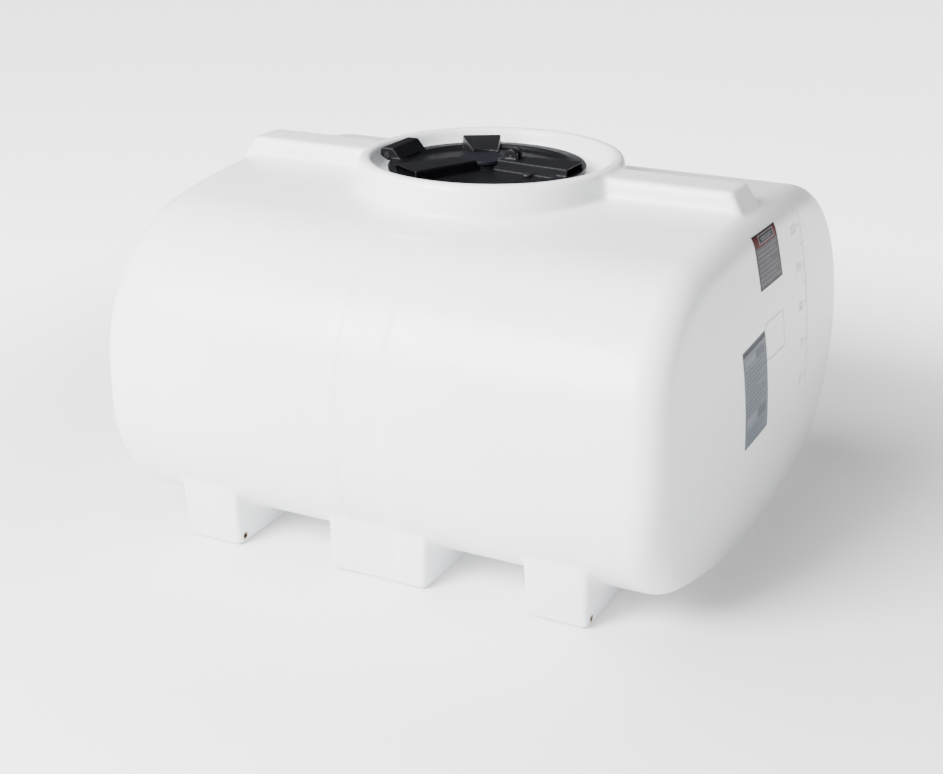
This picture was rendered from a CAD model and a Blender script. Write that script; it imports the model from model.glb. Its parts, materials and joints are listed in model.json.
"""Looks of the fresh water tank: soft moulded surfaces, labels, level scale and a plain studio.

Everything is in metres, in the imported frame: X along the tank, Y across it, Z up.
"""

import json
import math

import bmesh
import bpy
from mathutils import Matrix, Vector
from mathutils.bvhtree import BVHTree

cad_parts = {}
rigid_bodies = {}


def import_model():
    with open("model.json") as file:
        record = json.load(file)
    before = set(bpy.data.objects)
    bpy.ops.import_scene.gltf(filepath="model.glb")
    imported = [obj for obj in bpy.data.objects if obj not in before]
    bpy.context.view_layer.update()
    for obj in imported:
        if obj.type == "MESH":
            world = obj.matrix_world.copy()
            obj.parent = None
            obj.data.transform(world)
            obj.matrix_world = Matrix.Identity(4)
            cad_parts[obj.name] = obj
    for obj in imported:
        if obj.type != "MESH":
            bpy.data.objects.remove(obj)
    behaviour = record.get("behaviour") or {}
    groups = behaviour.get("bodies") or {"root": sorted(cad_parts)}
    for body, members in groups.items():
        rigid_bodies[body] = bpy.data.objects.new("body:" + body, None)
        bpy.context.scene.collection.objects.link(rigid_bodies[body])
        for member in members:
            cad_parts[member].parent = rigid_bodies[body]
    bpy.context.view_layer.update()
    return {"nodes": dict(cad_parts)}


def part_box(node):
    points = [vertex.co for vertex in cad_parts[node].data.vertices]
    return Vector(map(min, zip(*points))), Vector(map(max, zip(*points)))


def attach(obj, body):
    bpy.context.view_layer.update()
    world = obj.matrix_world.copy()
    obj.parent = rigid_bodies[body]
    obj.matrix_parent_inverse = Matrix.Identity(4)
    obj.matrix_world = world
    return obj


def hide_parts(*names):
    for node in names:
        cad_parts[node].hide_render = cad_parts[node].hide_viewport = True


for default_object in list(bpy.data.objects):
    bpy.data.objects.remove(default_object)

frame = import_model()
nodes = frame["nodes"]

# ---- Places taken from the frame, and the openings' own sizes ----

ring_low, ring_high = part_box("ring_gasket")
fitting_low, fitting_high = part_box("outlet_fitting")
outlet_pad_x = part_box("outlet_gasket")[1].x
insert_low, insert_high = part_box("leg_inserts")

manway_radius = 0.182
manway_x = (ring_low.x + ring_high.x) / 2
floor_height = ring_low.z
outlet_height = (fitting_low.z + fitting_high.z) / 2
outlet_hole_radius = 0.0265
screw_circle = 0.198
screw_hole_reach = 0.004
wall = 0.008

# Tie-down inserts: the two outer legs' faces, and the places across the tank
insert_radius = 0.008
insert_hole_depth = 0.022
insert_hole_lead = 0.004
leg_length = 0.129
insert_height = (insert_low.z + insert_high.z) / 2
insert_y = insert_high.y - insert_radius
insert_outer_x = insert_high.x
insert_inner_x = insert_outer_x - leg_length


# ---- Mesh helpers ----

shared_corner_gap = 1e-5


def link(obj):
    """Puts an object into the scene."""
    bpy.context.scene.collection.objects.link(obj)
    return obj


def from_bmesh(name, bm):
    """New object that holds a bmesh."""
    mesh = bpy.data.meshes.new(name)
    bm.to_mesh(mesh)
    bm.free()
    return link(bpy.data.objects.new(name, mesh))


def apply_modifiers(obj):
    """Replaces an object's mesh with its modified one."""
    depsgraph = bpy.context.evaluated_depsgraph_get()
    mesh = bpy.data.meshes.new_from_object(obj.evaluated_get(depsgraph))
    obj.modifiers.clear()
    obj.data = mesh
    return obj


def merged(node):
    """The mesh of a CAD node as a bmesh whose corners are shared."""
    bm = bmesh.new()
    bm.from_mesh(nodes[node].data)
    bmesh.ops.remove_doubles(bm, verts=bm.verts, dist=shared_corner_gap)
    bm.normal_update()
    return bm


def remesh(obj, voxel, passes):
    """Even quads of one size over a closed solid, with corners softened by the smoothing passes."""
    remesher = obj.modifiers.new("remesh", "REMESH")
    remesher.mode = "VOXEL"
    remesher.voxel_size = voxel
    if passes:
        smoother = obj.modifiers.new("soften", "SMOOTH")
        smoother.factor = 0.5
        smoother.iterations = passes
    return apply_modifiers(obj)


def cut(obj, *cutters):
    """Takes the cutters' solids out of an object, and removes the cutters."""
    for cutter in cutters:
        boolean = obj.modifiers.new("cut", "BOOLEAN")
        boolean.operation = "DIFFERENCE"
        boolean.solver = "MANIFOLD"
        boolean.object = cutter
    apply_modifiers(obj)
    for cutter in cutters:
        bpy.data.objects.remove(cutter)
    return obj


def shade(obj, degrees=35):
    """Smooth shading with crisp corners."""
    obj.data.shade_smooth()
    obj.data.set_sharp_from_angle(angle=math.radians(degrees))


def dress(obj, materials, body, slot, *replaced):
    """Gives a piece its materials, its body, its slot and the CAD nodes that it stands for."""
    for index, material in enumerate(materials):
        if index < len(obj.data.materials):
            obj.data.materials[index] = material
        else:
            obj.data.materials.append(material)
    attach(obj, body)
    if replaced:
        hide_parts(*replaced)
    return obj


def add_rod(bm, radius, start, end, segments=64):
    """Adds a cylinder between two points to a bmesh."""
    start, end = Vector(start), Vector(end)
    turn = (end - start).to_track_quat("Z", "Y").to_matrix().to_4x4()
    place = Matrix.Translation((start + end) / 2) @ turn
    bmesh.ops.create_cone(
        bm,
        cap_ends=True,
        segments=segments,
        radius1=radius,
        radius2=radius,
        depth=(end - start).length,
        matrix=place,
    )


# ---- Materials ----


class Nodes:
    """A material's node tree, with short ways to add and join nodes."""

    def __init__(self, name):
        self.material = bpy.data.materials.new(name)
        self.material.use_nodes = True
        self.tree = self.material.node_tree
        self.shader = self.tree.nodes["Principled BSDF"]

    def add(self, kind, **settings):
        """New node of a kind, with its own settings."""
        node = self.tree.nodes.new(kind)
        for name, value in settings.items():
            setattr(node, name, value)
        return node

    def join(self, output, target):
        """Joins one node's output to another's input."""
        self.tree.links.new(output, target)

    def noise(self, scale, detail=4, roughness=0.5):
        """Noise at a scale in the piece's own metres."""
        place = self.add("ShaderNodeTexCoord")
        noise = self.add("ShaderNodeTexNoise")
        noise.inputs["Scale"].default_value = scale
        noise.inputs["Detail"].default_value = detail
        noise.inputs["Roughness"].default_value = roughness
        self.join(place.outputs["Object"], noise.inputs["Vector"])
        return noise.outputs["Fac"]

    def ramp(self, source, low, high):
        """Turns a 0 to 1 value into a colour between two, with (place, colour) ends."""
        ramp = self.add("ShaderNodeValToRGB")
        for element, (place, colour) in zip(ramp.color_ramp.elements, (low, high)):
            element.position = place
            element.color = (*colour, 1)
        self.join(source, ramp.inputs["Fac"])
        return ramp.outputs["Color"]

    def spread(self, source, low, high):
        """Maps a 0 to 1 value onto a range."""
        spread = self.add("ShaderNodeMapRange")
        spread.inputs["To Min"].default_value = low
        spread.inputs["To Max"].default_value = high
        self.join(source, spread.inputs["Value"])
        return spread.outputs["Result"]

    def height_from(self, height):
        """Distance up or down from a height."""
        place = self.add("ShaderNodeTexCoord")
        axes = self.add("ShaderNodeSeparateXYZ")
        self.join(place.outputs["Object"], axes.inputs["Vector"])
        offset = self.add("ShaderNodeMath", operation="SUBTRACT")
        self.join(axes.outputs["Z"], offset.inputs[0])
        offset.inputs[1].default_value = height
        length = self.add("ShaderNodeMath", operation="ABSOLUTE")
        self.join(offset.outputs["Value"], length.inputs[0])
        return length.outputs["Value"]

    def distance_out(self):
        """Distance from the piece's own origin."""
        place = self.add("ShaderNodeTexCoord")
        length = self.add("ShaderNodeVectorMath", operation="LENGTH")
        self.join(place.outputs["Object"], length.inputs[0])
        return length.outputs["Value"]

    def fade(self, source, near, far, near_value, far_value):
        """A value that changes smoothly from near to far along a distance."""
        fade = self.add("ShaderNodeMapRange", interpolation_type="SMOOTHSTEP")
        fade.inputs["From Min"].default_value = near
        fade.inputs["From Max"].default_value = far
        fade.inputs["To Min"].default_value = near_value
        fade.inputs["To Max"].default_value = far_value
        self.join(source, fade.inputs["Value"])
        return fade.outputs["Result"]

    def bump(self, *layers):
        """Stacks bumps of (height source, distance) onto the shader's normal."""
        normal = None
        for source, distance in layers:
            bump = self.add("ShaderNodeBump")
            bump.inputs["Distance"].default_value = distance
            self.join(source, bump.inputs["Height"])
            if normal:
                self.join(normal, bump.inputs["Normal"])
            normal = bump.outputs["Normal"]
        self.join(normal, self.shader.inputs["Normal"])


def moulded(name, dark, light, rough, grain, grain_depth, wave=None, subsurface=0, sheen=0.5, seam=None):
    """Moulded plastic: mottled colour, uneven gloss and a fine grain.

    A wave is (scale, depth) and a seam is (height, half width, depth).
    """
    m = Nodes(name)
    m.join(m.ramp(m.noise(3.5, 5), (0.3, dark), (0.7, light)), m.shader.inputs["Base Color"])
    m.join(m.spread(m.noise(14, 6), rough[0], rough[1]), m.shader.inputs["Roughness"])
    layers = [(m.noise(grain, 3), grain_depth)]
    if wave:
        layers.append((m.noise(wave[0], 2), wave[1]))
    if seam:
        height, half_width, depth = seam
        layers.append((m.fade(m.height_from(height), 0, half_width, 1, 0), depth))
    m.bump(*layers)
    m.shader.inputs["IOR"].default_value = 1.5
    m.shader.inputs["Specular IOR Level"].default_value = sheen
    m.shader.inputs["Subsurface Weight"].default_value = subsurface
    m.shader.inputs["Subsurface Radius"].default_value = (0.02, 0.02, 0.022)
    m.shader.inputs["Subsurface Scale"].default_value = 0.4
    return m.material


def metal(name, dark, light, rough, grain):
    """Turned or brushed metal, with uneven gloss and fine scratches."""
    m = Nodes(name)
    m.join(m.ramp(m.noise(90, 5), (0.3, dark), (0.7, light)), m.shader.inputs["Base Color"])
    m.join(m.spread(m.noise(300, 4), rough[0], rough[1]), m.shader.inputs["Roughness"])
    m.bump((m.noise(grain, 4), 0.00005))
    m.shader.inputs["Metallic"].default_value = 1
    return m.material


def film(name, dark, light):
    """Printed label film, with slight mottling and a soft sheen."""
    m = Nodes(name)
    m.join(m.ramp(m.noise(160, 6, 0.7), (0.35, dark), (0.65, light)), m.shader.inputs["Base Color"])
    m.join(m.spread(m.noise(60, 3), 0.45, 0.6), m.shader.inputs["Roughness"])
    m.bump((m.noise(500, 2), 0.00003))
    m.shader.inputs["Specular IOR Level"].default_value = 0.12
    return m.material


tank_white = moulded(
    "tank_white",
    dark=(0.80, 0.815, 0.835),
    light=(0.85, 0.86, 0.875),
    rough=(0.26, 0.38),
    grain=420,
    grain_depth=0.00006,
    wave=(9, 0.0012),
    subsurface=0.12,
    seam=(0.282, 0.003, 0.0005),
)
scale_white = moulded(
    "scale_white",
    dark=(0.74, 0.755, 0.775),
    light=(0.80, 0.81, 0.825),
    rough=(0.4, 0.5),
    grain=420,
    grain_depth=0.00005,
)
lid_black = moulded(
    "lid_black",
    dark=(0.0035, 0.0036, 0.0045),
    light=(0.006, 0.0062, 0.008),
    rough=(0.34, 0.46),
    grain=900,
    grain_depth=0.00006,
    sheen=0.14,
)
cap_black = moulded(
    "cap_black",
    dark=(0.005, 0.0054, 0.009),
    light=(0.009, 0.0095, 0.015),
    rough=(0.4, 0.5),
    grain=1100,
    grain_depth=0.00005,
    sheen=0.16,
)
breather_grey = moulded(
    "breather_grey",
    dark=(0.008, 0.008, 0.009),
    light=(0.014, 0.014, 0.016),
    rough=(0.35, 0.45),
    grain=1200,
    grain_depth=0.00004,
    sheen=0.3,
)
fitting_black = moulded(
    "fitting_black",
    dark=(0.010, 0.010, 0.011),
    light=(0.018, 0.018, 0.020),
    rough=(0.35, 0.5),
    grain=900,
    grain_depth=0.00006,
    sheen=0.25,
)
rubber_black = moulded(
    "rubber_black",
    dark=(0.018, 0.018, 0.018),
    light=(0.030, 0.030, 0.030),
    rough=(0.7, 0.85),
    grain=1500,
    grain_depth=0.00008,
)
dark_steel = metal("dark_steel", (0.03, 0.03, 0.032), (0.06, 0.06, 0.062), (0.35, 0.5), 900)
stainless = metal("stainless", (0.52, 0.52, 0.51), (0.64, 0.64, 0.63), (0.25, 0.4), 900)
dull_brass = metal("dull_brass", (0.16, 0.13, 0.08), (0.24, 0.20, 0.12), (0.4, 0.55), 900)
label_grey = film("label_grey", (0.055, 0.053, 0.058), (0.075, 0.073, 0.079))
label_red = film("label_red", (0.055, 0.0008, 0.0015), (0.075, 0.0012, 0.0025))
label_ink = film("label_ink", (0.014, 0.013, 0.016), (0.024, 0.023, 0.026))
label_pale = film("label_pale", (0.15, 0.12, 0.12), (0.20, 0.17, 0.17))
label_dull = film("label_dull", (0.088, 0.093, 0.106), (0.118, 0.123, 0.138))
label_blue = film("label_blue", (0.120, 0.138, 0.163), (0.155, 0.173, 0.20))
label_slate = film("label_slate", (0.080, 0.090, 0.107), (0.105, 0.116, 0.135))
label_shadow = film("label_shadow", (0.030, 0.033, 0.041), (0.046, 0.050, 0.060))
label_mist = film("label_mist", (0.155, 0.174, 0.200), (0.19, 0.21, 0.24))


# ---- Tank shell ----

rim_slack = 3e-4
insert_face_slack = 0.0015
opening_turn = 1  # radians


def on_opening(point):
    """True on the rim of the manway, a ring screw's hole, the outlet's hole or an insert's hole."""
    from_manway = math.hypot(point.x - manway_x, point.y)
    from_outlet = math.hypot(point.y, point.z - outlet_height)
    on_floor = abs(point.z - floor_height) < rim_slack and from_manway < screw_circle + screw_hole_reach
    on_pad = abs(point.x - outlet_pad_x) < rim_slack and abs(from_outlet - outlet_hole_radius) < rim_slack
    return on_floor or on_pad or on_insert(point)


def on_insert(point):
    """True on the rim of a tie-down insert's hole."""
    for x in (insert_outer_x, insert_inner_x):
        near_face = abs(abs(point.x) - x) < insert_face_slack
        from_axis = math.hypot(abs(point.y) - insert_y, point.z - insert_height)
        if near_face and abs(from_axis - insert_radius) < rim_slack:
            return True
    return False


def outer_faces(bm):
    """Faces of the shell's outside, found by walking from its +X end without turning into an opening."""
    start = max(bm.faces, key=lambda face: face.calc_center_median().x)
    found = {start}
    queue = [start]
    while queue:
        face = queue.pop()
        for edge in face.edges:
            neighbours = [f for f in edge.link_faces if f is not face]
            if not neighbours or neighbours[0] in found:
                continue
            turns = face.normal.angle(neighbours[0].normal, 0) > opening_turn
            if turns and all(on_opening(v.co) for v in edge.verts):
                continue
            found.add(neighbours[0])
            queue.append(neighbours[0])
    return found


def closed_skin(name, keep_outside):
    """The shell's outside or inside as a closed solid, with its openings capped."""
    bm = merged("tank_shell")
    outside = outer_faces(bm)
    unwanted = [face for face in bm.faces if (face in outside) != keep_outside]
    bmesh.ops.delete(bm, geom=unwanted, context="FACES")
    if not keep_outside:
        # The walls of the openings go too, so that only the inner skin is capped
        walls = [face for face in bm.faces if all(on_opening(v.co) for v in face.verts)]
        bmesh.ops.delete(bm, geom=walls, context="FACES")
    edges = [edge for edge in bm.edges if edge.is_boundary]
    bmesh.ops.holes_fill(bm, edges=edges, sides=0)
    bmesh.ops.recalc_face_normals(bm, faces=bm.faces)
    return from_bmesh(name, bm)


def hole_cutters():
    """The manway, the outlet's hole and the eight insert holes."""
    bm = bmesh.new()
    add_rod(
        bm,
        manway_radius,
        (manway_x, 0, floor_height - 3 * wall),
        (manway_x, 0, floor_height + wall),
        segments=192,
    )
    add_rod(
        bm,
        outlet_hole_radius,
        (outlet_pad_x - wall, 0, outlet_height),
        (outlet_pad_x + 3 * wall, 0, outlet_height),
    )
    for side in (-1, 1):
        for y in (-insert_y, insert_y):
            for x, inward in ((insert_outer_x, -1), (insert_inner_x, 1)):
                start = (side * (x - inward * insert_hole_lead), y, insert_height)
                end = (side * (x + inward * insert_hole_depth), y, insert_height)
                add_rod(bm, insert_radius, start, end, segments=48)
    return from_bmesh("hole_cutters", bm)


def make_tank():
    """The moulded shell: an even skin with softened junctions, hollow inside, with its openings cut."""
    tank = closed_skin("tank_moulding", keep_outside=True)
    remesh(tank, voxel=0.0052, passes=7)
    inside = closed_skin("inside", keep_outside=False)
    remesh(inside, voxel=0.013, passes=1)
    cut(tank, inside, hole_cutters())
    shade(tank, 40)
    return dress(tank, [tank_white], "tank", "tank_plastic", "tank_shell")


tank = make_tank()
skin = BVHTree.FromObject(tank, bpy.context.evaluated_depsgraph_get())


# ---- Lid, ring and cap ----


def softened(node, voxel, passes, material, body, slot):
    """A CAD piece as even quads with small moulded radii on every corner."""
    obj = from_bmesh(node + "_moulding", merged(node))
    remesh(obj, voxel, passes)
    shade(obj, 50)
    return dress(obj, [material], body, slot, node)


softened("lid", 0.0017, 2, lid_black, "lid", "lid_plastic")
softened("lid_ring", 0.0016, 2, lid_black, "tank", "lid_plastic")
softened("fill_cap", 0.0010, 2, cap_black, "fill_cap", "lid_plastic")
softened("breather", 0.0005, 2, breather_grey, "lid", "breather_plastic")
softened("outlet_fitting", 0.0010, 2, fitting_black, "tank", "fitting_plastic")

for node, material in (
    ("ring_gasket", rubber_black),
    ("lid_gasket", rubber_black),
    ("fill_cap_seal", rubber_black),
    ("outlet_gasket", rubber_black),
    ("outlet_nut", fitting_black),
    ("ring_screws", stainless),
    ("hinge_pin", dark_steel),
    ("hinge_clips", dark_steel),
    ("fill_screen", stainless),
    ("fill_cap_pin", dark_steel),
    ("screen_retainer", lid_black),
    ("breather_nut", lid_black),
    ("leg_inserts", dull_brass),
):
    nodes[node].data.materials[0] = material


# ---- Things laid on the +X end ----

far_out = 1.0


def skin_point(y, z):
    """Point and outward normal of the tank's +X end at a place across and up."""
    place, normal, _, _ = skin.ray_cast(Vector((far_out, y, z)), Vector((-1, 0, 0)))
    return place, normal


def add_patch(bm, centre, size, tilt, lift, thickness, material_index=0, step=0.004):
    """Adds a thin closed patch that follows the end's curve; lift is its underside's height."""
    columns = max(1, round(size[0] / step))
    rows = max(1, round(size[1] / step))
    turn = Matrix.Rotation(math.radians(tilt), 2)
    layers = []
    for height in (lift, lift + thickness):
        grid = []
        for row in range(rows + 1):
            line = []
            for column in range(columns + 1):
                local = Vector((size[0] * (column / columns - 0.5), size[1] * (row / rows - 0.5)))
                y, z = turn @ local + Vector(centre)
                place, normal = skin_point(y, z)
                line.append(bm.verts.new(place + normal * height))
            grid.append(line)
        layers.append(grid)
    low, high = layers
    faces = []
    for row in range(rows):
        for column in range(columns):
            corners = ((row, column), (row, column + 1), (row + 1, column + 1), (row + 1, column))
            faces.append(bm.faces.new([high[r][c] for r, c in corners]))
            faces.append(bm.faces.new([low[r][c] for r, c in reversed(corners)]))
    border = [(0, c) for c in range(columns)] + [(r, columns) for r in range(rows)]
    border += [(rows, c) for c in range(columns, 0, -1)] + [(r, 0) for r in range(rows, 0, -1)]
    for (r0, c0), (r1, c1) in zip(border, border[1:] + border[:1]):
        faces.append(bm.faces.new((low[r0][c0], low[r1][c1], high[r1][c1], high[r0][c0])))
    for face in faces:
        face.material_index = material_index
    return faces


def label(name, node, materials, size, tilt, patches):
    """A label's film and its print: patches are (centre, size, ink, layer) in shares of the label."""
    low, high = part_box(node)
    centre = Vector(((low.y + high.y) / 2, (low.z + high.z) / 2))
    turn = Matrix.Rotation(math.radians(tilt), 2)
    film_lift, film_thickness, ink_thickness = 0.00005, 0.0003, 0.00008
    bm = bmesh.new()
    add_patch(bm, centre, size, tilt, film_lift, film_thickness)
    for (across, up), (width, height), ink, layer in patches:
        place = turn @ Vector((across * size[0], up * size[1])) + centre
        patch_size = (width * size[0], height * size[1])
        lift = film_lift + film_thickness + ink_thickness * (layer - 0.5)
        add_patch(bm, place, patch_size, tilt, lift, ink_thickness, ink)
    bmesh.ops.recalc_face_normals(bm, faces=bm.faces)
    obj = from_bmesh(name, bm)
    shade(obj)
    return dress(obj, materials, "tank", name, node)


text_margin = 0.43


def text_rows(first, last, count, widths, height, ink):
    """Blank printed rows of uneven length, ranged left."""
    rows = []
    for row in range(count):
        up = first + (last - first) * row / (count - 1)
        width = widths[row % len(widths)]
        rows.append(((width / 2 - text_margin, up), (width, height), ink, 1))
    return rows


def edging(width, height, ink):
    """Four thin bars along a label's edges; width and height are the bars' thickness in shares."""
    return [
        ((-0.5 + width / 2, 0), (width, 1), ink, 2),
        ((0.5 - width / 2, 0), (width, 1), ink, 2),
        ((0, -0.5 + height / 2), (1, height), ink, 2),
        ((0, 0.5 - height / 2), (1, height), ink, 2),
    ]


red, ink, pale, dull = 1, 2, 3, 4
upper_print = [
    ((0, 0.385), (1.0, 0.23), red, 1),
    ((0.03, 0.385), (0.66, 0.165), pale, 2),
    ((0.03, 0.385), (0.60, 0.125), ink, 3),
    ((0.03, 0.405), (0.50, 0.030), dull, 4),
    ((0.03, 0.365), (0.42, 0.030), dull, 4),
]
upper_print += text_rows(0.20, -0.40, 8, (0.84, 0.78, 0.86, 0.52, 0.80, 0.84, 0.66), 0.034, dull)
upper_print += edging(0.022, 0.028, ink)
label(
    "upper_label_film",
    "upper_label",
    (label_grey, label_red, label_ink, label_pale, label_dull),
    (0.132, 0.104),
    0,
    upper_print,
)

slate, shadow, mist = 1, 2, 3
lower_print = [
    ((0, 0.472), (1.0, 0.056), shadow, 1),
    ((-0.2, 0.37), (0.42, 0.06), mist, 1),
    ((0.22, 0.36), (0.36, 0.09), slate, 1),
    ((-0.22, -0.24), (0.40, 0.09), mist, 1),
    ((0.22, -0.25), (0.34, 0.11), slate, 1),
]
lower_print += text_rows(0.28, -0.16, 11, (0.84, 0.70, 0.86, 0.6, 0.82, 0.48, 0.78), 0.014, slate)
lower_print += text_rows(-0.34, -0.455, 4, (0.7, 0.84, 0.55), 0.014, slate)
lower_print += edging(0.016, 0.01, slate)
label(
    "lower_label_film",
    "lower_label",
    (label_blue, label_slate, label_shadow, label_mist),
    (0.120, 0.204),
    6,
    lower_print,
)


# ---- Moulded level scale and frame on the +X end ----

scale_y = 0.195
scale_low = 0.300
scale_high = 0.672
scale_line = 0.003
first_mark = 0.320
mark_spacing = 0.040
mark_count = 9
mark_width = 0.0025
numeral_step = 25
numeral_gap = 0.032
numeral_size = 0.026
frame_y, frame_z = -0.034, 0.4725
frame_width, frame_height = 0.108, 0.074
frame_line = 0.0022
raised = 0.0009
sunk = 0.0006


def add_rib(bm, centre, size):
    """Adds a raised rib that starts a little inside the wall."""
    add_patch(bm, centre, size, 0, -sunk, raised + sunk)


def mark_height(mark):
    """Height of one of the scale's evenly spaced marks, counted from the lowest."""
    return first_mark + mark_spacing * mark


def level_scale():
    """An upright line with long and short marks, and a rectangular frame beside it."""
    bm = bmesh.new()
    add_rib(bm, (scale_y, (scale_low + scale_high) / 2), (scale_line, scale_high - scale_low))
    for mark in range(mark_count):
        length = 0.022 if mark % 2 == 0 else 0.012
        add_rib(bm, (scale_y - length / 2 - scale_line, mark_height(mark)), (length, mark_width))
    for side in (-1, 1):
        add_rib(bm, (frame_y + side * frame_width / 2, frame_z), (frame_line, frame_height))
        add_rib(bm, (frame_y, frame_z + side * frame_height / 2), (frame_width - 0.003, frame_line))
    bmesh.ops.recalc_face_normals(bm, faces=bm.faces)
    scale_marks = from_bmesh("level_scale", bm)
    shade(scale_marks)
    dress(scale_marks, [scale_white], "tank", "tank_plastic")


level_scale()


def numeral(text, y, z, size):
    """Raised moulded numeral that follows the end's curve."""
    curve = bpy.data.curves.new("numeral_" + text, "FONT")
    curve.body = text
    curve.size = size
    curve.align_x = "RIGHT"
    curve.align_y = "CENTER"
    curve.extrude = raised
    curve.resolution_u = 3
    source = link(bpy.data.objects.new("numeral_" + text, curve))
    depsgraph = bpy.context.evaluated_depsgraph_get()
    mesh = bpy.data.meshes.new_from_object(source.evaluated_get(depsgraph))
    bpy.data.objects.remove(source)
    for vertex in mesh.vertices:
        place, normal = skin_point(y + vertex.co.x, z + vertex.co.y)
        vertex.co = place + normal * vertex.co.z
    obj = link(bpy.data.objects.new("numeral_" + text, mesh))
    shade(obj)
    return dress(obj, [scale_white], "tank", "tank_plastic")


for mark in range(0, mark_count, 2):
    numeral(str(numeral_step * (mark + 1)), scale_y - numeral_gap, mark_height(mark), numeral_size)


# ---- Studio ----


def studio_floor():
    """A plain pale floor that brightens away from the tank."""
    m = Nodes("studio_floor")
    tone = m.ramp(m.noise(0.7, 2), (0.3, (0.86, 0.86, 0.865)), (0.7, (0.88, 0.88, 0.885)))
    m.join(tone, m.shader.inputs["Base Color"])
    m.shader.inputs["Roughness"].default_value = 0.9
    m.shader.inputs["Emission Color"].default_value = (1, 1, 1, 1)
    glow = m.fade(m.distance_out(), 0.9, 2.4, 0.3, 2.8)
    m.join(glow, m.shader.inputs["Emission Strength"])
    bm = bmesh.new()
    bmesh.ops.create_grid(bm, x_segments=8, y_segments=8, size=40)
    floor = from_bmesh("studio_floor", bm)
    floor.location.z = -0.0005
    floor.data.materials.append(m.material)


def aim(obj, target):
    """Turns a lamp or camera towards a point."""
    obj.rotation_euler = (Vector(target) - obj.location).to_track_quat("-Z", "Y").to_euler()


def softbox(name, place, target, size, power):
    """Square area lamp in metres and watts."""
    lamp = bpy.data.lights.new(name, "AREA")
    lamp.shape = "RECTANGLE"
    lamp.size = lamp.size_y = size
    lamp.energy = power
    obj = link(bpy.data.objects.new(name, lamp))
    obj.location = place
    aim(obj, target)


def studio():
    """The floor, a faint white sky, a key lamp in front and a weak lamp above."""
    studio_floor()
    world = bpy.data.worlds.new("studio_world")
    bpy.context.scene.world = world
    world.use_nodes = True
    background = world.node_tree.nodes["Background"]
    background.inputs["Color"].default_value = (1.0, 1.0, 1.0, 1)
    background.inputs["Strength"].default_value = 0.15
    middle = (0, 0, 0.4)
    softbox("key", (-1.5, -3.9, 3.0), middle, 2.4, 900)
    softbox("top", (-0.8, -0.6, 4.2), middle, 2.4, 150)


def camera():
    """The camera that shows the tank from above its front right corner."""
    view = bpy.data.cameras.new("camera")
    view.lens = 64.1
    view.sensor_width = 36
    view.clip_end = 200
    obj = link(bpy.data.objects.new("camera", view))
    obj.location = (1.5312, -3.0851, 1.5545)
    aim(obj, (-0.0505, 0.0070, 0.2294))
    bpy.context.scene.camera = obj


studio()
camera()
